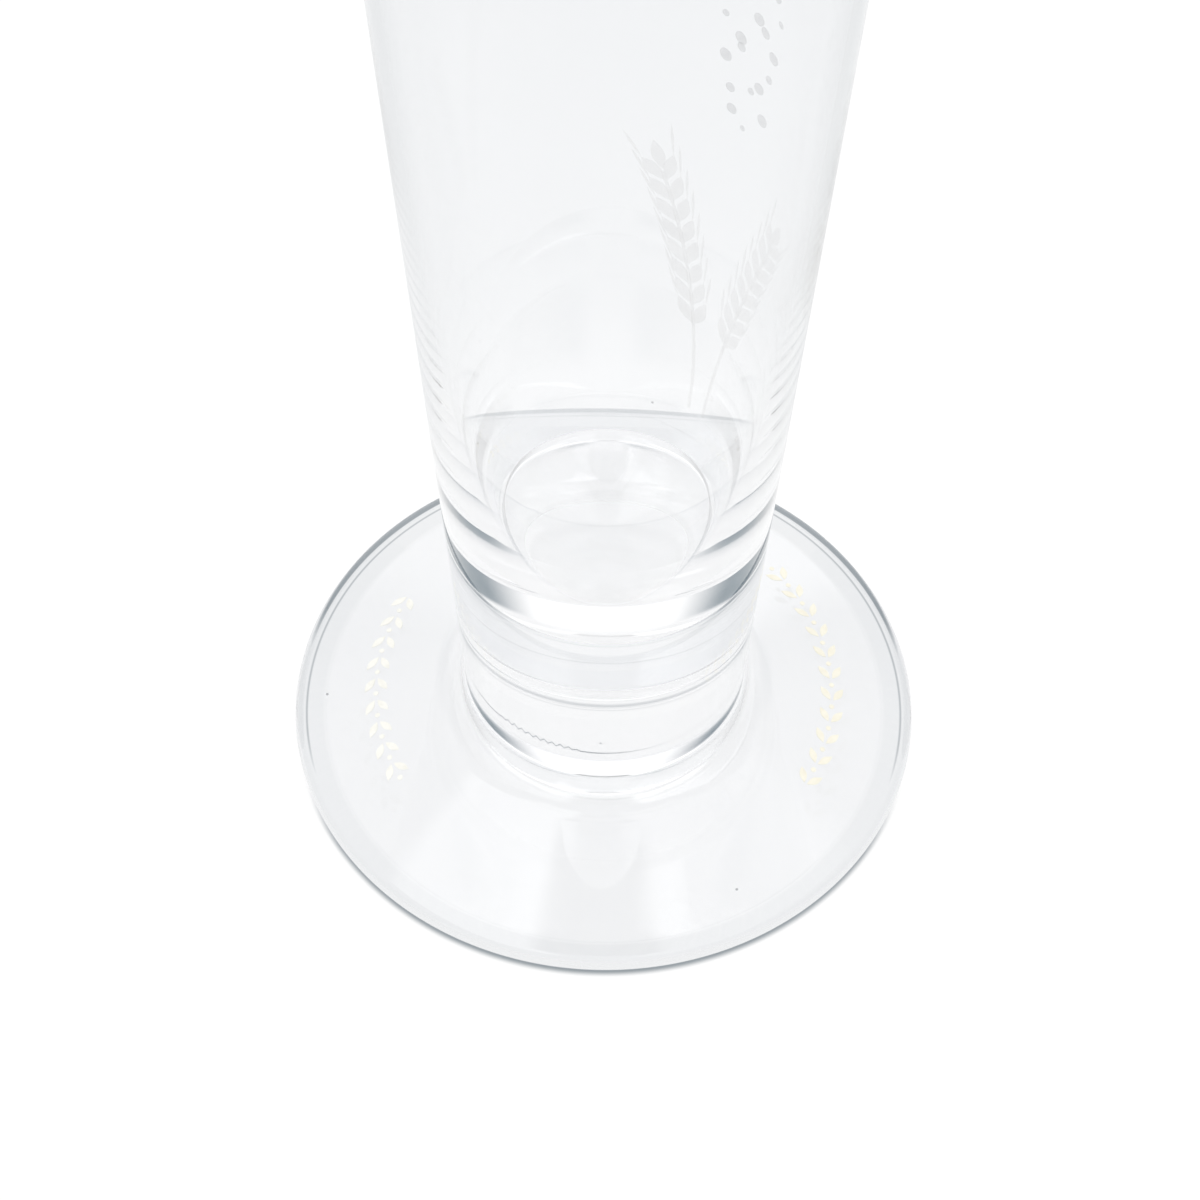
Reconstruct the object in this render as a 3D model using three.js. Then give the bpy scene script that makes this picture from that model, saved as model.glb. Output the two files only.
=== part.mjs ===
// Tulip beer glass in clear glass: a straight flaring bowl with a heavy solid base, drawn in towards its lip
// and fused on to a pressed round foot. Millimetres, +Z up, with the origin at the centre of the circle that
// the glass stands on.
import * as THREE from 'three';

// Foot
const FOOT_DIAMETER = 80;
const FOOT_EDGE_THICKNESS = 2.8; // the edge is a full half round
const FOOT_TOP_SLOPE = THREE.MathUtils.degToRad(15.4); // the top rises towards the neck
const STANDING_RING_INNER_DIAMETER = 71.4; // the flat ring between this and the edge touches the table
const HOLLOW_RISE = 0.34; // shallow hollow under the foot, measured on the axis
const NECK_FILLET_RADIUS = 5.6;

// Neck, with the stub of the foot that the bowl is fused on to
const NECK_DIAMETER = 36;
const STUB_HEIGHT = 3.5; // from the top of the neck's fillet to the weld

// Bowl, outside
const FLARE_HEIGHT = 151; // straight part, from the top of the neck's fillet up
const FLARE_TOP_DIAMETER = 60;
const CROWN_HEIGHT = 55; // curved part, from the straight part to the top of the lip
const LIP_DIAMETER = 60;

// Bowl, inside
const LIP_THICKNESS = 1.5; // the lip is a full half round
const FLARE_WALL = 1.7; // the wall where the straight part ends
const LOW_WALL_EXTRA = 3.7; // how much thicker the wall is where the cavity's rounded corner starts
const WALL_FADE_LENGTH = 17.1; // height in which that extra falls to about a third
const BASE_THICKNESS = 21.6; // solid glass between the weld and the cavity's floor
const CAVITY_CORNER_HEIGHT = 4; // height of the rounded corner between the wall and the floor

// Fineness of the facets
const SEGMENTS_AROUND = 48;
const STEPS_PER_CURVE = 4;
const INNER_WALL_STEPS = 8;

// Shares of its height and of its width in which the cavity's corner keeps to the wall and to the floor
const CORNER_WALL_SHARE = 0.27;
const CORNER_FLOOR_SHARE = 0.32;

// Shared sizes, worked out from the driving dimensions
const neckRadius = NECK_DIAMETER / 2;
const edgeRadius = FOOT_EDGE_THICKNESS / 2;
const edgeCentre = FOOT_DIAMETER / 2 - edgeRadius;
const neckHeight = filletCentreHeight();
const weldHeight = neckHeight + STUB_HEIGHT;
const flareTop = neckHeight + FLARE_HEIGHT;
const outerSlope = (FLARE_TOP_DIAMETER / 2 - neckRadius) / FLARE_HEIGHT;
const cavityFloor = weldHeight + BASE_THICKNESS;
const cavityShoulder = cavityFloor + CAVITY_CORNER_HEIGHT;

// Height of the neck fillet's centre, where the fillet ends. The fillet touches the foot's sloping top, and
// the top touches the half round of the edge.
function filletCentreHeight() {
  const slopeSine = Math.sin(FOOT_TOP_SLOPE);
  const slopeCosine = Math.cos(FOOT_TOP_SLOPE);
  const run = neckRadius + NECK_FILLET_RADIUS - (edgeCentre + edgeRadius * slopeSine);
  const topOfEdge = edgeRadius + edgeRadius * slopeCosine;
  return topOfEdge + (NECK_FILLET_RADIUS - run * slopeSine) / slopeCosine;
}

// Radius of the straight part's outside at a height.
function outerRadius(height) {
  return neckRadius + outerSlope * (height - neckHeight);
}

// How much thicker than the upper wall the straight part's wall is at a height.
function extraWall(height) {
  return LOW_WALL_EXTRA * Math.exp((cavityShoulder - height) / WALL_FADE_LENGTH);
}

// Radius of the cavity at a height in the straight part.
function cavityRadius(height) {
  return outerRadius(height) - FLARE_WALL - extraWall(height);
}

// Solid of revolution about +Z from a profile of radius and height.
function revolve(profile) {
  const geometry = new THREE.LatheGeometry(profile.getPoints(STEPS_PER_CURVE), SEGMENTS_AROUND);
  geometry.rotateX(Math.PI / 2);
  return geometry;
}

// Clear glass, with a colour of its own for each piece.
function glass(colour) {
  return new THREE.MeshStandardMaterial({ color: colour, roughness: 0.05, metalness: 0 });
}

// Foot: hollow underside, standing ring, half-round edge, sloping top, neck fillet, stub and weld face.
function footProfile() {
  const ringInner = STANDING_RING_INNER_DIAMETER / 2;
  const hollowRadius = (ringInner ** 2 + HOLLOW_RISE ** 2) / (2 * HOLLOW_RISE);
  const hollowAngle = Math.asin(ringInner / hollowRadius);
  const filletCentre = neckRadius + NECK_FILLET_RADIUS;
  const profile = new THREE.Path();
  profile.moveTo(0, HOLLOW_RISE);
  profile.absarc(0, HOLLOW_RISE - hollowRadius, hollowRadius, Math.PI / 2, Math.PI / 2 - hollowAngle, true);
  profile.lineTo(edgeCentre, 0);
  profile.absarc(edgeCentre, edgeRadius, edgeRadius, -Math.PI / 2, Math.PI / 2 - FOOT_TOP_SLOPE, false);
  profile.absarc(filletCentre, neckHeight, NECK_FILLET_RADIUS, -Math.PI / 2 - FOOT_TOP_SLOPE, -Math.PI, true);
  profile.lineTo(outerRadius(weldHeight), weldHeight);
  profile.lineTo(0, weldHeight);
  return profile;
}

// Crown and lip: from the end of the straight wall up to the half-round lip and down the inside again.
function addCrown(profile) {
  const lipRound = LIP_THICKNESS / 2;
  const lipCentre = LIP_DIAMETER / 2 - lipRound;
  const lipHeight = flareTop + CROWN_HEIGHT - lipRound;
  const bendHeight = (flareTop + lipHeight) / 2;
  const outerBend = outerRadius(bendHeight);
  const innerBend = outerBend - (FLARE_WALL + LIP_THICKNESS) / 2;
  profile.quadraticCurveTo(outerBend, bendHeight, lipCentre + lipRound, lipHeight);
  profile.absarc(lipCentre, lipHeight, lipRound, 0, Math.PI, false);
  profile.quadraticCurveTo(innerBend, bendHeight, cavityRadius(flareTop), flareTop);
}

// Cavity: from the end of the straight part down the thickening wall, round the corner and along the floor.
function addCavity(profile) {
  for (let step = 1; step <= INNER_WALL_STEPS; step += 1) {
    const share = 1 - (1 - step / INNER_WALL_STEPS) ** 2; // closer together lower down, where the wall bends
    const height = flareTop + (cavityShoulder - flareTop) * share;
    profile.lineTo(cavityRadius(height), height);
  }
  const shoulderRadius = cavityRadius(cavityShoulder);
  const shoulderSlope = outerSlope + LOW_WALL_EXTRA / WALL_FADE_LENGTH;
  const handle = CAVITY_CORNER_HEIGHT * CORNER_WALL_SHARE;
  profile.bezierCurveTo(
    shoulderRadius - shoulderSlope * handle, cavityShoulder - handle,
    shoulderRadius * CORNER_FLOOR_SHARE, cavityFloor,
    0, cavityFloor);
}

// Bowl: weld face, straight outer wall, crown with its lip, and the cavity.
function bowlProfile() {
  const profile = new THREE.Path();
  profile.moveTo(0, weldHeight);
  profile.lineTo(outerRadius(weldHeight), weldHeight);
  profile.lineTo(FLARE_TOP_DIAMETER / 2, flareTop);
  addCrown(profile);
  addCavity(profile);
  return profile;
}

const tulipGlass = new THREE.Group();

const foot = new THREE.Mesh(revolve(footProfile()), glass(0xe4ebea));
foot.name = 'foot';
tulipGlass.add(foot);

const bowl = new THREE.Mesh(revolve(bowlProfile()), glass(0xf0f3f3));
bowl.name = 'bowl';
tulipGlass.add(bowl);

export default tulipGlass;
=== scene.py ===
import math

import bmesh
import bpy
from mathutils import Matrix, Vector


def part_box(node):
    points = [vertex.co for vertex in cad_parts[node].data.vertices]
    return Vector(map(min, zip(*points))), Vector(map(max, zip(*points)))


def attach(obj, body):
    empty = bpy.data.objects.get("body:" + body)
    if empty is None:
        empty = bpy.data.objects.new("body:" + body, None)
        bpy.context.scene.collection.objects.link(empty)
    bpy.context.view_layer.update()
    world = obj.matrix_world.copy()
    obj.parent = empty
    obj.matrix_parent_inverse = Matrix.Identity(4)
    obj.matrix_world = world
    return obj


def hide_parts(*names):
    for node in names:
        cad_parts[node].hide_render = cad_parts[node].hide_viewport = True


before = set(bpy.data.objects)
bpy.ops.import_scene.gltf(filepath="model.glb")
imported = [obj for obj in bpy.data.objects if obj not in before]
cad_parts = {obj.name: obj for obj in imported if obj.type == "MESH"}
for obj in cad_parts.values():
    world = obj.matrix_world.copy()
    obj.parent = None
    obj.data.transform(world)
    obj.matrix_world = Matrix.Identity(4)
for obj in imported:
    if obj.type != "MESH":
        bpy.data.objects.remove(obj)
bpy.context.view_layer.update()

# A tulip beer glass in clear glass, seen from above at the front: a bowl with a heavy base, fused on to a
# pressed round foot, with fired-on ornament. Metres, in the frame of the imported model.
MM = 0.001

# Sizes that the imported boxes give
FOOT_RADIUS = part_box("foot")[1].x
WELD_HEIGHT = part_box("foot")[1].z
TOP_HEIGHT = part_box("bowl")[1].z

# Foot
EDGE_RADIUS = 1.4 * MM
EDGE_CENTRE = FOOT_RADIUS - EDGE_RADIUS
TOP_SLOPE = math.radians(15.4)
RING_INNER_RADIUS = 35.7 * MM
HOLLOW_RISE = 0.34 * MM
FILLET_RADIUS = 5.6 * MM
NECK_RADIUS = 18.0 * MM
STUB_HEIGHT = 3.5 * MM

# Bowl
NECK_HEIGHT = WELD_HEIGHT - STUB_HEIGHT
FLARE_HEIGHT = 151 * MM
FLARE_TOP = NECK_HEIGHT + FLARE_HEIGHT
FLARE_TOP_RADIUS = 30 * MM
FLARE_SLOPE = (FLARE_TOP_RADIUS - NECK_RADIUS) / FLARE_HEIGHT
LIP_RADIUS = 30 * MM
LIP_ROUND = 0.75 * MM
FLARE_WALL = 1.7 * MM
LOW_WALL_EXTRA = 3.7 * MM
WALL_FADE_LENGTH = 17.1 * MM
BASE_THICKNESS = 21.6 * MM
CORNER_HEIGHT = 4.0 * MM
CAVITY_FLOOR = WELD_HEIGHT + BASE_THICKNESS
CAVITY_SHOULDER = CAVITY_FLOOR + CORNER_HEIGHT
CORNER_WALL_SHARE = 0.27
CORNER_FLOOR_SHARE = 0.32

# Seam: a fine line above the weld, clearest round the front's left, where it runs in a zigzag
SEAM_HEIGHT = WELD_HEIGHT + 1.8 * MM
SEAM_HALF_WIDTH = 0.20 * MM
SEAM_ZIGZAG_HEIGHT = 0.75 * MM
SEAM_ZIGZAG_STEP = math.radians(1.7)
SEAM_ZIGZAG_MIDDLE = math.radians(-117)
SEAM_ZIGZAG_REACH = math.radians(22)
SEAM_CLEAR_REACH = math.radians(55)
SEAM_FAINT_SHARE = 0.2
SEAM_COLOUR = (0.16, 0.18, 0.20)

# Fineness of the turned surfaces
SEGMENTS = 720
HOLLOW_STEPS = 20
ROUND_STEPS = 24
CROWN_STEPS = 14
LIP_STEPS = 12
WALL_STEPS = 30
WALL_LAST_STEP = 2 * MM
SHARP_ANGLE = math.radians(25)
TOUCH = 1e-6  # closer than this counts as the same place
LEVEL_NORMAL = 0.9  # a face whose normal rises more than this is level

# Glass: scales are per metre, and a range gives the values of the noise between which a mark comes up
GLASS_IOR = 1.52
BOWL_TINT = (0.957, 0.961, 0.966)
FOOT_TINT = (0.918, 0.926, 0.938)
TINT_VARIATION = 0.015
SMUDGE_SCALE = 60.0
SMUDGE_DETAIL = 3.0
SMUDGE_RANGE = (0.55, 0.75)
SMUDGE_ROUGHNESS = 0.02
WAVE_SCALE = 45.0
WAVE_DETAIL = 1.0
WAVE_STRENGTH = 0.05
WAVE_DEPTH = 0.2 * MM
DUST_COLOUR = (0.25, 0.26, 0.27)
DUST_SCALE = 170.0
DUST_RANGE = (0.040, 0.025)
DUST_PICK_RANGE = (0.80, 0.81)

# Fired-on enamel: the colours of its full and its thin cover, and how uneven the cover is
WHITE_ENAMEL = ((0.97, 0.96, 0.90), (0.90, 0.89, 0.82))
CREAM_ENAMEL = ((0.95, 0.92, 0.79), (0.90, 0.86, 0.72))
BEIGE_ENAMEL = ((0.83, 0.74, 0.62), (0.90, 0.83, 0.74))
GREY_ENAMEL = ((0.62, 0.61, 0.63), (0.76, 0.75, 0.77))
ENAMEL_PROUD = 0.03 * MM
ENAMEL_SUNK = 0.02 * MM
ENAMEL_SCALE = 900.0
ENAMEL_DETAIL = 4.0
ENAMEL_BUMP_STRENGTH = 0.2
ENAMEL_BUMP_DEPTH = 0.02 * MM
ENAMEL_THIN_RANGE = (0.35, 0.75)
ENAMEL_ROUGH_RANGE = (0.3, 0.7)
ENAMEL_ROUGHNESS = (0.35, 0.55)
EARS_COVER = 0.065
BUBBLES_COVER = 0.15

# Garlands of leaf pairs and beads on the foot
GARLAND_RADIUS = 29.5 * MM
GARLAND_STEP = 3.4 * MM
GARLAND_FIRST_SHARE = 0.15
LEFT_GARLAND = (math.radians(150), math.radians(208))
RIGHT_GARLAND = (math.radians(-29), math.radians(42))
LEAF_LENGTH = 2.3 * MM
LEAF_WIDTH = 0.95 * MM
LEAF_ANGLE = math.radians(34)
LEAF_OFFSET = 0.18 * MM
BEAD_OFFSET = 2.35 * MM
BEAD_RADIUS = 0.34 * MM

# Ears of barley on the bowl's back
EARS_MIDDLE = math.radians(90 - 40)
EARS_FOOT = 46 * MM
EAR_HEIGHT = 40 * MM
EAR_FOOT_OFFSET = 1.5 * MM
EAR_LEAN = 8.5 * MM
EAR_BEND = 1.8
STALK_HALF_WIDTH = 0.28 * MM
STALK_STEPS = 24
FIRST_GRAIN_STEP = 9
STEPS_PER_GRAIN = 2
GRAIN_LENGTH = 4.6 * MM
GRAIN_WIDTH = 1.9 * MM
GRAIN_OFFSET = 0.45 * MM
GRAIN_ANGLE = math.radians(27)
AWN_LENGTH = 5.5 * MM
AWN_WIDTH = 0.4 * MM
AWN_OFFSET = 4.9 * MM
AWN_ANGLE = math.radians(12)
TIP_GRAIN_LENGTH = 5.0 * MM
TIP_GRAIN_OFFSET = 0.4 * MM

# Bubbles that rise above the ears
BUBBLES_MIDDLE = math.radians(90 - 42)
BUBBLES_LOW = 98 * MM
BUBBLES_HIGH = 132 * MM
BUBBLE_COUNT = 26
BUBBLE_CROWDING = 0.8
BUBBLE_SWAY = 6.5 * MM
BUBBLE_LOW_SWAY_SHARE = 0.45
BUBBLE_LEAST_RADIUS = 0.45 * MM
BUBBLE_EXTRA_RADIUS = 0.5 * MM
BUBBLE_RADIUS_TURN = 2.3

# Camera, fitted to the photograph: where it stands, how it is turned and how large a millimetre shows
CAMERA_DISTANCE = 0.9
CAMERA_ELEVATION = math.radians(55.42)
CAMERA_PITCH = math.radians(0.947)
CAMERA_YAW = math.radians(-0.046)
CAMERA_ROLL = math.radians(0.98)
PIXELS_PER_MM = 7.689
IMAGE_PIXELS = 1200
SENSOR_WIDTH = 36.0
NEAREST_SEEN = 0.01

# Studio
STUDIO_RADIUS = 2.5
STUDIO_SEGMENTS = 96
STUDIO_RINGS = 48
WORLD_STRENGTH = 1.15
LIGHT_BOUNCES = 80
WHITE = (1.0, 1.0, 1.0)

# Floor as the camera sees it, and as it shows in the glass, where it greys with the distance. Each pair of
# limits is in millimetres from the axis, from where a smooth step starts to where it ends.
FLOOR_COLOUR = (0.93, 0.93, 0.93)
FLOOR_WHITE_STRENGTH = 1.06
FLOOR_WHITE_SHARE = 0.85
FLOOR_FAR_COLOUR = (0.80, 0.81, 0.82)
FLOOR_NEAR_FADE = (36, 75)
FLOOR_NEAR_FADE_SHARE = 0.45
FLOOR_FAR_FADE = (75, 260)
FLOOR_FAR_FADE_SHARE = 0.55
FLOOR_SIDE_FADE = (42, 66)
FLOOR_SIDE_FADE_SHARE = 0.2

# Painted shade on the floor at the foot's edge, in millimetres from the axis and in degrees turned from the
# back: a painted contact line, crevice and dim ring. It is lighter at the back, and in front a painted
# shadow reaches past the edge.
SHADE_COLOUR = (0.20, 0.24, 0.27)
CONTACT_INNER = (37.9, 38.15)
CONTACT_OUTER = (38.45, 38.2)
CONTACT_DEPTH = 0.55
CONTACT_FRONT_TURN = (112, 96)
CREVICE_INNER = (38.9, 39.1)
CREVICE_DEPTH = 0.85
RING_INNER = (35.2, 36.2)
RING_DEPTH = 0.13
SHADE_OUTER = (39.9, 39.4)
SHADE_BACK_TURN = (20, 33)
SHADE_BACK_SHARE = 0.45
FRONT_SHADOW_TURN = (104, 124)
FRONT_SHADOW_INNER = (39.15, 39.4)
FRONT_SHADOW_OUTER = (40.5, 39.45)
FRONT_SHADOW_DEPTH = 0.85

# Studio walls, in degrees turned from the back and risen from level
BACK_WALL_TURN = (26, 16)
BACK_WALL_LEVEL = 1.15
GAP_COLOUR = (0.13, 0.19, 0.23)
GAP_NEAR_TURN = (18, 40)
GAP_FAR_TURN = (85, 45)
GAP_TOP = (46, 26)
GAP_BOTTOM = (2, 20)
GAP_BOTTOM_SHARE = 0.3
SIDE_NEAR_TURN = (40, 70)
SIDE_FAR_TURN = (140, 110)
SIDE_TOP = (55, 35)
SIDE_DIMMING = 0.35

# Studio ceiling, in shares of its height to the right and to the back
STRIP_HALF_WIDTH = (0.17, 0.09)
STRIP_FRONT = (-0.12, -0.02)
STRIP_BACK = (0.50, 0.28)
STRIP_DIMMING = 0.9
LEFT_BOX_OUTER = (-0.48, -0.42)
LEFT_BOX_INNER = (-0.11, -0.16)
LEFT_BOX_LEVEL = 1.3
RIGHT_BOX_OUTER = (0.60, 0.50)
RIGHT_BOX_INNER = (0.10, 0.14)
RIGHT_BOX_LEVEL = 0.6
BOX_HALF_LENGTH = (0.52, 0.44)


# Profiles

def arc(centre_r, centre_z, radius, start, end, steps):
    """Points of an arc in the plane of radius and height, both ends included."""
    turns = [start + (end - start) * i / steps for i in range(steps + 1)]
    return [(centre_r + radius * math.cos(a), centre_z + radius * math.sin(a)) for a in turns]


def bezier(points, steps):
    """Points of a quadratic or cubic curve, its start left out."""
    degree = len(points) - 1
    made = []
    for i in range(1, steps + 1):
        t = i / steps
        shares = [math.comb(degree, k) * t ** k * (1 - t) ** (degree - k) for k in range(degree + 1)]
        made.append(tuple(sum(s * p[axis] for s, p in zip(shares, points)) for axis in (0, 1)))
    return made


def outer_radius(height):
    """Outside of the straight flaring wall."""
    return NECK_RADIUS + FLARE_SLOPE * (height - NECK_HEIGHT)


def cavity_radius(height):
    """Inside of the straight flaring wall, which thickens towards the base."""
    extra = LOW_WALL_EXTRA * math.exp((CAVITY_SHOULDER - height) / WALL_FADE_LENGTH)
    return outer_radius(height) - FLARE_WALL - extra


def foot_top(radius):
    """Height of the foot's sloping top."""
    edge_radius = EDGE_CENTRE + EDGE_RADIUS * math.sin(TOP_SLOPE)
    edge_height = EDGE_RADIUS * (1 + math.cos(TOP_SLOPE))
    return edge_height + (edge_radius - radius) * math.tan(TOP_SLOPE)


def foot_profile():
    """Hollow underside, standing ring, half-round edge, sloping top, fillet, stub and weld face."""
    hollow_radius = (RING_INNER_RADIUS ** 2 + HOLLOW_RISE ** 2) / (2 * HOLLOW_RISE)
    hollow_angle = math.asin(RING_INNER_RADIUS / hollow_radius)
    hollow_centre = HOLLOW_RISE - hollow_radius
    fillet_centre = NECK_RADIUS + FILLET_RADIUS
    quarter = math.pi / 2
    points = arc(0, hollow_centre, hollow_radius, quarter, quarter - hollow_angle, HOLLOW_STEPS)
    points += arc(EDGE_CENTRE, EDGE_RADIUS, EDGE_RADIUS, -quarter, quarter - TOP_SLOPE, ROUND_STEPS)
    points += arc(fillet_centre, NECK_HEIGHT, FILLET_RADIUS, -quarter - TOP_SLOPE, -math.pi, ROUND_STEPS)
    points += [(outer_radius(WELD_HEIGHT), WELD_HEIGHT), (0, WELD_HEIGHT)]
    return points


def bowl_profile():
    """Weld face, straight outer wall, crown, half-round lip, cavity wall and the cavity's floor."""
    lip_height = TOP_HEIGHT - LIP_ROUND
    bend = (FLARE_TOP + lip_height) / 2
    inner_bend = outer_radius(bend) - (FLARE_WALL + 2 * LIP_ROUND) / 2
    flare_top = (FLARE_TOP_RADIUS, FLARE_TOP)
    wall_end = FLARE_TOP - WALL_LAST_STEP  # the smooth shading of the crown starts here, and not at the weld
    points = [(0, WELD_HEIGHT)]
    points += [(outer_radius(height), height) for height in (WELD_HEIGHT, wall_end)]
    points += [flare_top]
    points += bezier([flare_top, (outer_radius(bend), bend), (LIP_RADIUS, lip_height)], CROWN_STEPS)
    points += arc(LIP_RADIUS - LIP_ROUND, lip_height, LIP_ROUND, 0, math.pi, LIP_STEPS)[1:]
    points += bezier([points[-1], (inner_bend, bend), (cavity_radius(FLARE_TOP), FLARE_TOP)], CROWN_STEPS)
    for i in range(1, WALL_STEPS + 1):
        share = 1 - (1 - i / WALL_STEPS) ** 2  # closer together lower down, where the wall bends
        height = FLARE_TOP + (CAVITY_SHOULDER - FLARE_TOP) * share
        points.append((cavity_radius(height), height))
    shoulder = points[-1]
    handle = CORNER_HEIGHT * CORNER_WALL_SHARE
    slope = FLARE_SLOPE + LOW_WALL_EXTRA / WALL_FADE_LENGTH
    points += bezier([
        shoulder,
        (shoulder[0] - slope * handle, CAVITY_SHOULDER - handle),
        (shoulder[0] * CORNER_FLOOR_SHARE, CAVITY_FLOOR),
        (0, CAVITY_FLOOR)], ROUND_STEPS)
    return points


# Meshes

def add_piece(name, mesh, *materials):
    """Makes an object of the glass from a mesh and lets it ride on the model."""
    for material in materials:
        mesh.materials.append(material)
    piece = bpy.data.objects.new(name, mesh)
    bpy.context.scene.collection.objects.link(piece)
    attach(piece, "root")
    return piece


def revolve(name, profile):
    """Closed mesh of revolution about +Z from a profile that starts and ends on the axis."""
    shell = bmesh.new()
    turns = [2 * math.pi * i / SEGMENTS for i in range(SEGMENTS)]
    rings = []
    for radius, height in profile:
        if radius < TOUCH:
            ring = [shell.verts.new((0, 0, height))] * SEGMENTS
        else:
            ring = [shell.verts.new((radius * math.cos(a), radius * math.sin(a), height)) for a in turns]
        rings.append(ring)
    for low, high in zip(rings, rings[1:]):
        for i in range(SEGMENTS):
            j = (i + 1) % SEGMENTS
            corners = list(dict.fromkeys((low[i], low[j], high[j], high[i])))
            shell.faces.new(corners).smooth = True
    mesh = bpy.data.meshes.new(name)
    shell.to_mesh(mesh)
    shell.free()
    mesh.set_sharp_from_angle(angle=SHARP_ANGLE)
    return mesh


def mark_weld(mesh):
    """Gives the level faces in the weld plane the second material."""
    for face in mesh.polygons:
        if abs(face.center.z - WELD_HEIGHT) < TOUCH and abs(face.normal.z) > LEVEL_NORMAL:
            face.material_index = 1


def enamel_mesh(name, outlines, place):
    """Thin closed plates with the given outlines, laid on a surface that place(u, v, rise) describes."""
    plates = bmesh.new()
    for outline in outlines:
        top = [plates.verts.new(place(u, v, ENAMEL_PROUD)) for u, v in outline]
        bottom = [plates.verts.new(place(u, v, -ENAMEL_SUNK)) for u, v in outline]
        plates.faces.new(top)
        plates.faces.new(bottom[::-1])
        for i in range(len(outline)):
            j = (i + 1) % len(outline)
            plates.faces.new((top[j], top[i], bottom[i], bottom[j]))
    mesh = bpy.data.meshes.new(name)
    plates.to_mesh(mesh)
    plates.free()
    return mesh


# Ornament

def leaf(u, v, length, width, angle, points=7):
    """Pointed oval that starts at a point and runs off at an angle."""
    along = [i / points for i in range(points + 1)]
    upper = [(length * t, width / 2 * math.sin(math.pi * t)) for t in along]
    lower = [(x, -y) for x, y in upper[-2:0:-1]]
    cosine, sine = math.cos(angle), math.sin(angle)
    return [(u + x * cosine - y * sine, v + x * sine + y * cosine) for x, y in (lower[::-1] + upper[::-1])]


def bead(u, v, radius, points=14):
    """Small disc."""
    turns = [2 * math.pi * i / points for i in range(points)]
    return [(u + radius * math.cos(a), v + radius * math.sin(a)) for a in turns]


def on_foot(u, v, rise):
    """Point on the foot's top: u is the angle round the axis, v the distance out from the garland."""
    radius = GARLAND_RADIUS + v
    out = radius + rise * math.sin(TOP_SLOPE)
    return (out * math.cos(u), out * math.sin(u), foot_top(radius) + rise * math.cos(TOP_SLOPE))


def garland(start, end):
    """Leaf pairs and beads along the garland's circle between two angles."""
    count = round((end - start) * GARLAND_RADIUS / GARLAND_STEP)
    outlines = []
    for i in range(count):
        u = (i + GARLAND_FIRST_SHARE) * GARLAND_STEP
        for side in (1, -1):
            outlines.append(leaf(u, side * LEAF_OFFSET, LEAF_LENGTH, LEAF_WIDTH, side * LEAF_ANGLE))
        outlines.append(bead(u + BEAD_OFFSET, 0, BEAD_RADIUS))
    return [[(start + u / GARLAND_RADIUS, v) for u, v in outline] for outline in outlines]


def on_bowl(middle):
    """Place on the bowl's outside: u runs round it from a middle angle, v is the height."""
    def place(u, v, rise):
        radius = outer_radius(v)
        turn = middle + u / radius
        return ((radius + rise) * math.cos(turn), (radius + rise) * math.sin(turn), v)
    return place


def barley_ear(lean):
    """One ear of barley on a bent stalk that leans to one side."""
    spine = []
    for i in range(STALK_STEPS + 1):
        t = i / STALK_STEPS
        offset = EAR_FOOT_OFFSET + EAR_LEAN * t ** EAR_BEND
        spine.append((lean * offset, EARS_FOOT + EAR_HEIGHT * t))
    one_side = [(u + STALK_HALF_WIDTH, v) for u, v in spine]
    other_side = [(u - STALK_HALF_WIDTH, v) for u, v in spine[::-1]]
    outlines = [one_side + other_side]
    for i in range(FIRST_GRAIN_STEP, STALK_STEPS + 1, STEPS_PER_GRAIN):
        (u, v), (u0, v0) = spine[i], spine[i - 1]
        run = math.atan2(v - v0, u - u0)
        for side in (-1, 1):
            turn = run + side * GRAIN_ANGLE
            grain = (u + GRAIN_OFFSET * math.cos(turn), v + GRAIN_OFFSET * math.sin(turn))
            outlines.append(leaf(*grain, GRAIN_LENGTH, GRAIN_WIDTH, turn))
            awn = (u + AWN_OFFSET * math.cos(turn), v + AWN_OFFSET * math.sin(turn))
            outlines.append(leaf(*awn, AWN_LENGTH, AWN_WIDTH, run + side * AWN_ANGLE))
    tip_u, tip_v = spine[-1]
    outlines.append(leaf(tip_u, tip_v + TIP_GRAIN_OFFSET, TIP_GRAIN_LENGTH, GRAIN_WIDTH, run))
    return outlines


def bubbles():
    """Rising bubbles of mixed sizes, closer in height and farther to the sides near the top."""
    golden = math.pi * (3 - math.sqrt(5))
    outlines = []
    for i in range(BUBBLE_COUNT):
        share = (i + 0.5) / BUBBLE_COUNT
        height = BUBBLES_LOW + (BUBBLES_HIGH - BUBBLES_LOW) * share ** BUBBLE_CROWDING
        spread = BUBBLE_LOW_SWAY_SHARE + (1 - BUBBLE_LOW_SWAY_SHARE) * share
        sway = BUBBLE_SWAY * math.sin(golden * i) * spread
        radius = BUBBLE_LEAST_RADIUS + BUBBLE_EXTRA_RADIUS * abs(math.sin(BUBBLE_RADIUS_TURN * i))
        outlines.append(bead(sway, height, radius))
    return outlines


# Materials

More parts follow.
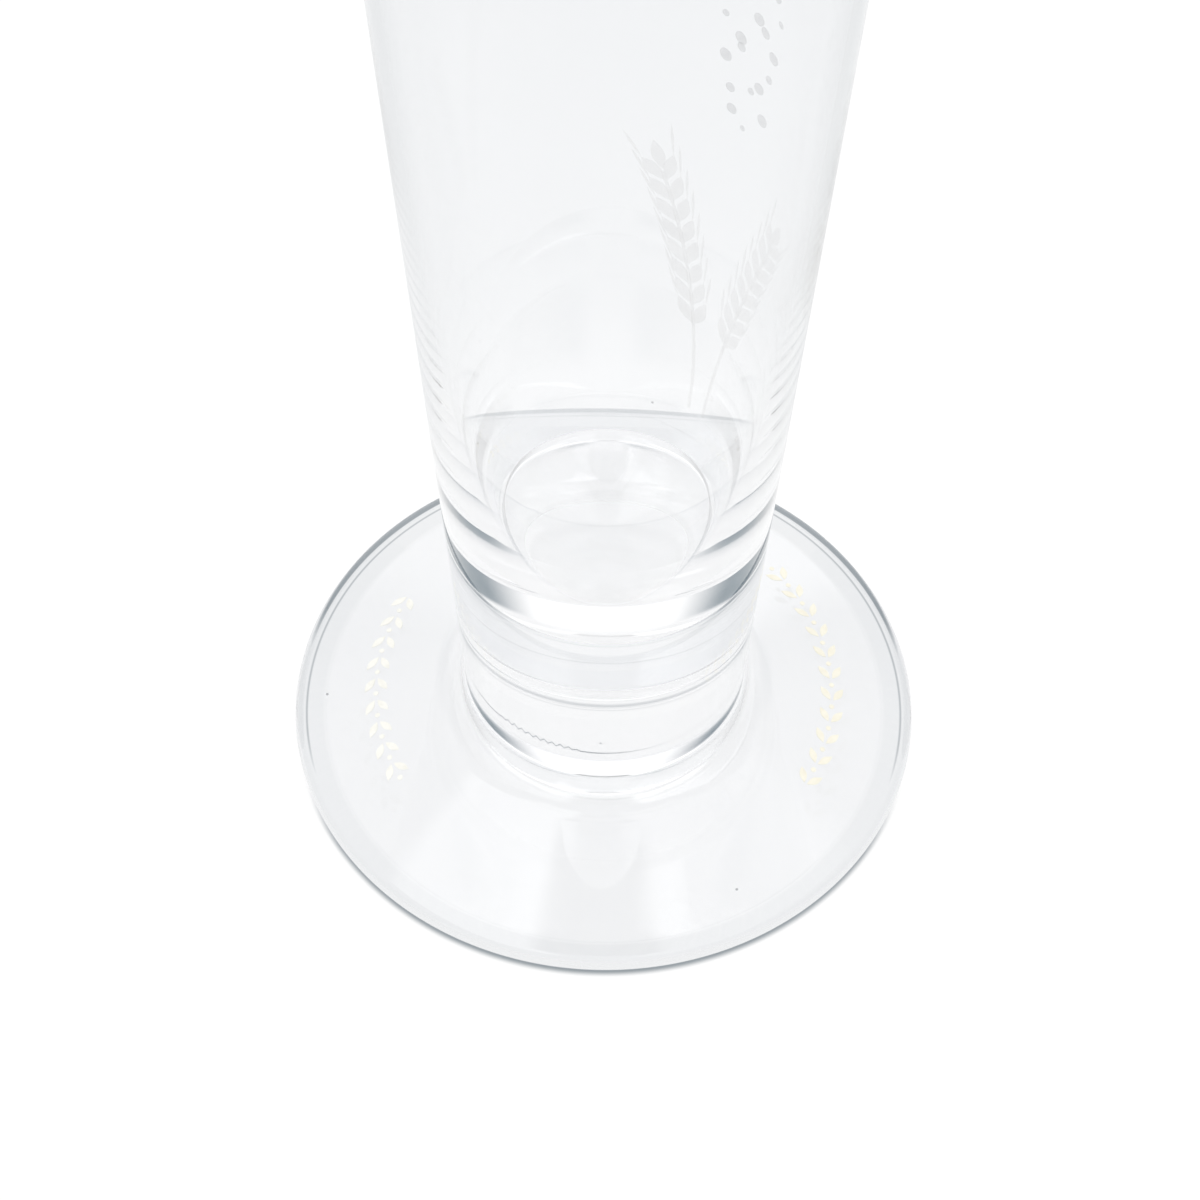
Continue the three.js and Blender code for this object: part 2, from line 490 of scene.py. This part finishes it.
class Nodes:
    """Short ways to add and join the nodes of a new material."""

    def __init__(self, name):
        self.material = bpy.data.materials.new(name)
        self.material.use_nodes = True
        self.tree = self.material.node_tree
        self.tree.nodes.clear()

    def add(self, kind, **values):
        """A node with some of its properties and sockets set. A linked value is another node's output."""
        node = self.tree.nodes.new(kind)
        for name, value in values.items():
            if hasattr(node, name):
                setattr(node, name, value)
            else:
                self.put(node.inputs[name], value)
        return node

    def put(self, socket, value):
        """Sets a socket, or links it."""
        if isinstance(value, bpy.types.NodeSocket):
            self.tree.links.new(value, socket)
        else:
            socket.default_value = value

    def math(self, operation, first, second=0.0):
        """Result of a math node."""
        node = self.add("ShaderNodeMath", operation=operation)
        self.put(node.inputs[0], first)
        self.put(node.inputs[1], second)
        return node.outputs[0]

    def product(self, *values):
        """All the values multiplied."""
        result = values[0]
        for value in values[1:]:
            result = self.math("MULTIPLY", result, value)
        return result

    def ramp(self, value, start, end, low=0.0, high=1.0):
        """Smooth step of a value from low to high between two limits."""
        node = self.add("ShaderNodeMapRange", interpolation_type="SMOOTHSTEP")
        self.put(node.inputs["Value"], value)
        for name, limit in (("From Min", start), ("From Max", end), ("To Min", low), ("To Max", high)):
            node.inputs[name].default_value = limit
        return node.outputs["Result"]

    def blend(self, share, first, second):
        """Mix of two colours."""
        node = self.add("ShaderNodeMix", data_type="RGBA")
        self.put(node.inputs[0], share)
        self.put(node.inputs[6], (*first, 1) if isinstance(first, tuple) else first)
        self.put(node.inputs[7], (*second, 1) if isinstance(second, tuple) else second)
        return node.outputs[2]

    def place(self):
        """Place on the object."""
        return self.add("ShaderNodeTexCoord").outputs["Object"]

    def axes(self, vector):
        """X, Y and Z of a vector."""
        return self.add("ShaderNodeSeparateXYZ", Vector=vector).outputs

    def noise(self, place, scale, detail):
        """Smooth noise at a place."""
        return self.add("ShaderNodeTexNoise", Vector=place, Scale=scale, Detail=detail).outputs["Fac"]

    def surface(self, shader):
        """Ends the material with a shader."""
        output = self.add("ShaderNodeOutputMaterial")
        self.tree.links.new(shader, output.inputs["Surface"])
        return self.material


def seam_line(nodes, place):
    """Share of the seam's line at a place on the glass."""
    axes = nodes.axes(place)
    turn = nodes.math("ARCTAN2", axes["Y"], axes["X"])
    away = nodes.math("ABSOLUTE", nodes.math("SUBTRACT", turn, SEAM_ZIGZAG_MIDDLE))
    steepness = SEAM_ZIGZAG_HEIGHT / SEAM_ZIGZAG_STEP
    reach = nodes.ramp(away, SEAM_ZIGZAG_REACH, SEAM_ZIGZAG_REACH / 2, 0.0, steepness)
    zigzag = nodes.product(nodes.math("PINGPONG", turn, SEAM_ZIGZAG_STEP), reach)
    rise = nodes.math("SUBTRACT", nodes.math("SUBTRACT", axes["Z"], SEAM_HEIGHT), zigzag)
    line = nodes.ramp(nodes.math("ABSOLUTE", rise), SEAM_HALF_WIDTH, SEAM_HALF_WIDTH / 2)
    clear = nodes.ramp(away, SEAM_CLEAR_REACH, SEAM_ZIGZAG_REACH, SEAM_FAINT_SHARE, 1.0)
    return nodes.product(line, clear)


def dust_specks(nodes, place):
    """Share of a few scattered specks at a place on the glass."""
    cells = nodes.add("ShaderNodeTexVoronoi", Vector=place, Scale=DUST_SCALE).outputs
    speck = nodes.ramp(cells["Distance"], *DUST_RANGE)
    pick = nodes.add("ShaderNodeSeparateColor", Color=cells["Color"]).outputs["Red"]
    return nodes.product(speck, nodes.ramp(pick, *DUST_PICK_RANGE))


def glass(name, tint):
    """Clear glass: a faint tint, smudges, slight waviness, a few specks of dust and the seam's line."""
    nodes = Nodes(name)
    place = nodes.place()
    cloud = nodes.noise(place, SMUDGE_SCALE, SMUDGE_DETAIL)
    paler = tuple(min(1.0, c + TINT_VARIATION) for c in tint)
    shade = nodes.blend(cloud, tint, paler)
    smudge = nodes.ramp(cloud, *SMUDGE_RANGE, 0.0, SMUDGE_ROUGHNESS)
    wave = nodes.noise(place, WAVE_SCALE, WAVE_DETAIL)
    bump = nodes.add("ShaderNodeBump", Strength=WAVE_STRENGTH, Distance=WAVE_DEPTH, Height=wave)
    shader = nodes.add("ShaderNodeBsdfPrincipled", Roughness=smudge, Normal=bump.outputs["Normal"])
    shader.inputs["IOR"].default_value = GLASS_IOR
    shader.inputs["Transmission Weight"].default_value = 1.0
    marked = nodes.blend(dust_specks(nodes, place), shade, DUST_COLOUR)
    nodes.put(shader.inputs["Base Color"], nodes.blend(seam_line(nodes, place), marked, SEAM_COLOUR))
    return nodes.surface(shader.outputs["BSDF"])


def fused_glass():
    """The weld inside the glass, where one piece runs on into the other and nothing bends the light."""
    nodes = Nodes("fused_weld")
    clear = nodes.add("ShaderNodeBsdfTransparent")
    return nodes.surface(clear.outputs["BSDF"])


def enamel(name, colour, thin, cover_share=1.0):
    """Fired-on enamel: a little uneven in cover, with a satin surface. A thin print lets light through."""
    nodes = Nodes(name)
    cover = nodes.noise(nodes.place(), ENAMEL_SCALE, ENAMEL_DETAIL)
    bump = nodes.add("ShaderNodeBump", Strength=ENAMEL_BUMP_STRENGTH, Distance=ENAMEL_BUMP_DEPTH)
    nodes.put(bump.inputs["Height"], cover)
    shader = nodes.add("ShaderNodeBsdfPrincipled", Normal=bump.outputs["Normal"])
    thinness = nodes.ramp(cover, *ENAMEL_THIN_RANGE)
    nodes.put(shader.inputs["Base Color"], nodes.blend(thinness, colour, thin))
    nodes.put(shader.inputs["Roughness"], nodes.ramp(cover, *ENAMEL_ROUGH_RANGE, *ENAMEL_ROUGHNESS))
    shader.inputs["Alpha"].default_value = cover_share
    return nodes.surface(shader.outputs["BSDF"])


def turn_from_back(nodes, axes):
    """Angle in degrees from the back of the studio, to either side."""
    turn = nodes.math("ARCTAN2", axes["X"], axes["Y"])
    return nodes.math("DEGREES", nodes.math("ABSOLUTE", turn))


def beside_back_wall(nodes, turn):
    """Share of the gaps on either side of the back wall at an angle."""
    return nodes.product(nodes.ramp(turn, *GAP_NEAR_TURN), nodes.ramp(turn, *GAP_FAR_TURN))


def painted_foot_shade(nodes, radius, turn):
    """Painted shade on the floor at the foot's edge: contact line, crevice, dim ring and front shadow."""
    contact = nodes.product(
        nodes.ramp(radius, *CONTACT_INNER, 0.0, CONTACT_DEPTH),
        nodes.ramp(radius, *CONTACT_OUTER),
        nodes.ramp(turn, *CONTACT_FRONT_TURN))
    crevice = nodes.ramp(radius, *CREVICE_INNER, 0.0, CREVICE_DEPTH)
    ring = nodes.ramp(radius, *RING_INNER, 0.0, RING_DEPTH)
    under = nodes.math("MAXIMUM", nodes.math("MAXIMUM", contact, crevice), ring)
    round_about = nodes.ramp(turn, *SHADE_BACK_TURN, SHADE_BACK_SHARE, 1.0)
    under = nodes.product(under, round_about, nodes.ramp(radius, *SHADE_OUTER))
    front = nodes.product(
        nodes.ramp(turn, *FRONT_SHADOW_TURN),
        nodes.ramp(radius, *FRONT_SHADOW_INNER, 0.0, FRONT_SHADOW_DEPTH),
        nodes.ramp(radius, *FRONT_SHADOW_OUTER))
    return nodes.math("MAXIMUM", under, front)


def floor_white(nodes, radius, turn, camera_ray):
    """White to the camera. In the glass it greys with the distance, and more beside the back wall."""
    in_glass = nodes.math("SUBTRACT", 1.0, camera_ray)
    near = nodes.ramp(radius, *FLOOR_NEAR_FADE, 0.0, FLOOR_NEAR_FADE_SHARE)
    far = nodes.ramp(radius, *FLOOR_FAR_FADE, 0.0, FLOOR_FAR_FADE_SHARE)
    fade = nodes.product(nodes.math("ADD", near, far), in_glass)
    side = nodes.ramp(radius, *FLOOR_SIDE_FADE, 0.0, FLOOR_SIDE_FADE_SHARE)
    side = nodes.product(beside_back_wall(nodes, turn), side, in_glass)
    return nodes.blend(side, nodes.blend(fade, WHITE, FLOOR_FAR_COLOUR), SHADE_COLOUR)


def floor_material():
    """White floor that keeps a part of the object's shadow, with painted shade that darkens the crevice
    under the foot's edge.
    """
    nodes = Nodes("floor_white")
    path = nodes.add("ShaderNodeLightPath").outputs
    seen = nodes.math("MAXIMUM", path["Is Camera Ray"], path["Is Glossy Ray"])
    seen = nodes.math("MAXIMUM", seen, path["Is Transmission Ray"])
    place = nodes.place()
    reach = nodes.add("ShaderNodeVectorMath", operation="LENGTH")
    nodes.put(reach.inputs[0], place)
    radius = nodes.math("DIVIDE", reach.outputs["Value"], MM)
    turn = turn_from_back(nodes, nodes.axes(place))
    # painted shade at the foot's edge, put into both the white and the lit part of the floor
    dark = painted_foot_shade(nodes, radius, turn)
    plain = floor_white(nodes, radius, turn, path["Is Camera Ray"])
    white = nodes.add("ShaderNodeEmission", Color=nodes.blend(dark, plain, SHADE_COLOUR))
    white.inputs["Strength"].default_value = FLOOR_WHITE_STRENGTH
    matt = nodes.add("ShaderNodeBsdfDiffuse", Color=nodes.blend(dark, FLOOR_COLOUR, SHADE_COLOUR))
    mix = nodes.add("ShaderNodeMixShader", Fac=nodes.product(seen, FLOOR_WHITE_SHARE))
    nodes.put(mix.inputs[1], matt.outputs["BSDF"])
    nodes.put(mix.inputs[2], white.outputs["Emission"])
    return nodes.surface(mix.outputs["Shader"])


def ceiling_level(nodes, axes):
    """Light that the ceiling adds: two softboxes, less a dark strip between them."""
    across = nodes.math("DIVIDE", axes["X"], axes["Z"])
    back = nodes.math("DIVIDE", axes["Y"], axes["Z"])
    strip = nodes.product(
        nodes.ramp(nodes.math("ABSOLUTE", across), *STRIP_HALF_WIDTH),
        nodes.ramp(back, *STRIP_FRONT),
        nodes.ramp(back, *STRIP_BACK, 0.0, STRIP_DIMMING))
    left = nodes.product(
        nodes.ramp(across, *LEFT_BOX_OUTER),
        nodes.ramp(across, *LEFT_BOX_INNER, 0.0, LEFT_BOX_LEVEL))
    right = nodes.product(
        nodes.ramp(across, *RIGHT_BOX_OUTER),
        nodes.ramp(across, *RIGHT_BOX_INNER, 0.0, RIGHT_BOX_LEVEL))
    along = nodes.ramp(nodes.math("ABSOLUTE", back), *BOX_HALF_LENGTH)
    boxes = nodes.product(nodes.math("ADD", left, right), along)
    return nodes.math("SUBTRACT", boxes, strip)


def studio_material():
    """White studio walls, brighter at the back and dark in the gaps beside it, under a lit ceiling."""
    nodes = Nodes("studio_walls")
    unit = nodes.add("ShaderNodeVectorMath", operation="NORMALIZE")
    nodes.put(unit.inputs[0], nodes.place())
    axes = nodes.axes(unit.outputs[0])
    turn = turn_from_back(nodes, axes)
    rise = nodes.math("DEGREES", nodes.math("ARCSINE", axes["Z"]))
    gap = nodes.product(
        beside_back_wall(nodes, turn),
        nodes.ramp(rise, *GAP_TOP),
        nodes.ramp(rise, *GAP_BOTTOM, GAP_BOTTOM_SHARE, 1.0))
    side = nodes.product(
        nodes.ramp(turn, *SIDE_NEAR_TURN),
        nodes.ramp(turn, *SIDE_FAR_TURN),
        nodes.ramp(rise, *SIDE_TOP, 0.0, SIDE_DIMMING))
    walls = nodes.math("SUBTRACT", nodes.ramp(turn, *BACK_WALL_TURN, 1.0, BACK_WALL_LEVEL), side)
    level = nodes.math("ADD", walls, ceiling_level(nodes, axes))
    lamp = nodes.add("ShaderNodeEmission", Color=nodes.blend(gap, WHITE, GAP_COLOUR), Strength=level)
    return nodes.surface(lamp.outputs["Emission"])


# Studio

def add_stage(name, shell, material):
    """Makes an object of the studio from a mesh under construction."""
    mesh = bpy.data.meshes.new(name)
    shell.to_mesh(mesh)
    shell.free()
    mesh.materials.append(material)
    thing = bpy.data.objects.new(name, mesh)
    bpy.context.scene.collection.objects.link(thing)
    return thing


def add_floor():
    """Plain round floor."""
    disc = bmesh.new()
    bmesh.ops.create_circle(disc, cap_ends=True, segments=STUDIO_SEGMENTS, radius=STUDIO_RADIUS)
    add_stage("floor", disc, floor_material())


def add_studio():
    """Round studio wall and ceiling, which only show in the glass."""
    dome = bmesh.new()
    bmesh.ops.create_uvsphere(
        dome, u_segments=STUDIO_SEGMENTS, v_segments=STUDIO_RINGS, radius=STUDIO_RADIUS)
    below = [v for v in dome.verts if v.co.z < -TOUCH]
    bmesh.ops.delete(dome, geom=below, context="VERTS")
    studio = add_stage("studio", dome, studio_material())
    studio.visible_camera = False
    studio.visible_diffuse = False
    studio.visible_shadow = False


def add_light():
    """Even white light from all round."""
    scene = bpy.context.scene
    scene.world = bpy.data.worlds.new("studio_light")
    scene.world.use_nodes = True
    light = scene.world.node_tree.nodes["Background"]
    light.inputs["Color"].default_value = (*WHITE, 1)
    light.inputs["Strength"].default_value = WORLD_STRENGTH


def add_camera():
    """Camera at the photograph's place, aimed a little off the foot's centre."""
    lens = bpy.data.cameras.new("camera")
    lens.sensor_width = SENSOR_WIDTH
    lens.lens = SENSOR_WIDTH * PIXELS_PER_MM * CAMERA_DISTANCE / MM / IMAGE_PIXELS
    lens.clip_start = NEAREST_SEEN
    camera = bpy.data.objects.new("camera", lens)
    bpy.context.scene.collection.objects.link(camera)
    place = Vector((0, -math.cos(CAMERA_ELEVATION), math.sin(CAMERA_ELEVATION))) * CAMERA_DISTANCE
    turn = Matrix.Rotation(math.pi / 2 - CAMERA_ELEVATION + CAMERA_PITCH, 4, "X")
    turn = turn @ Matrix.Rotation(-CAMERA_YAW, 4, "Y") @ Matrix.Rotation(CAMERA_ROLL, 4, "Z")
    camera.matrix_world = Matrix.Translation(place) @ turn
    bpy.context.scene.camera = camera


def set_up_render():
    """Colours as written, and enough bounces for light that is trapped in thick glass."""
    scene = bpy.context.scene
    scene.view_settings.view_transform = "Standard"
    scene.cycles.max_bounces = LIGHT_BOUNCES
    scene.cycles.glossy_bounces = LIGHT_BOUNCES
    scene.cycles.transmission_bounces = LIGHT_BOUNCES
    scene.cycles.transparent_max_bounces = LIGHT_BOUNCES


# The glass

def add_glass():
    """Bowl and foot, fused at the weld."""
    weld = fused_glass()
    for name, profile, tint in (("bowl", bowl_profile(), BOWL_TINT), ("foot", foot_profile(), FOOT_TINT)):
        mesh = revolve(f"{name}_glass", profile)
        piece = add_piece(f"{name}_glass", mesh, glass(f"{name}_glass", tint), weld)
        mark_weld(mesh)
        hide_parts(name)


def add_ornament():
    """Garlands on the foot, ears of barley and bubbles on the bowl's back."""
    white = enamel("enamel_white", *WHITE_ENAMEL)
    cream = enamel("enamel_cream", *CREAM_ENAMEL)
    beige = enamel("enamel_beige", *BEIGE_ENAMEL, EARS_COVER)
    grey = enamel("enamel_grey", *GREY_ENAMEL, BUBBLES_COVER)
    add_piece("garland_left", enamel_mesh("garland_left", garland(*LEFT_GARLAND), on_foot), white)
    add_piece("garland_right", enamel_mesh("garland_right", garland(*RIGHT_GARLAND), on_foot), cream)
    ears = barley_ear(-1) + barley_ear(1)
    add_piece("barley_ears", enamel_mesh("barley_ears", ears, on_bowl(EARS_MIDDLE)), beige)
    add_piece("bubbles", enamel_mesh("bubbles", bubbles(), on_bowl(BUBBLES_MIDDLE)), grey)


add_glass()
add_ornament()
add_floor()
add_studio()
add_light()
add_camera()
set_up_render()
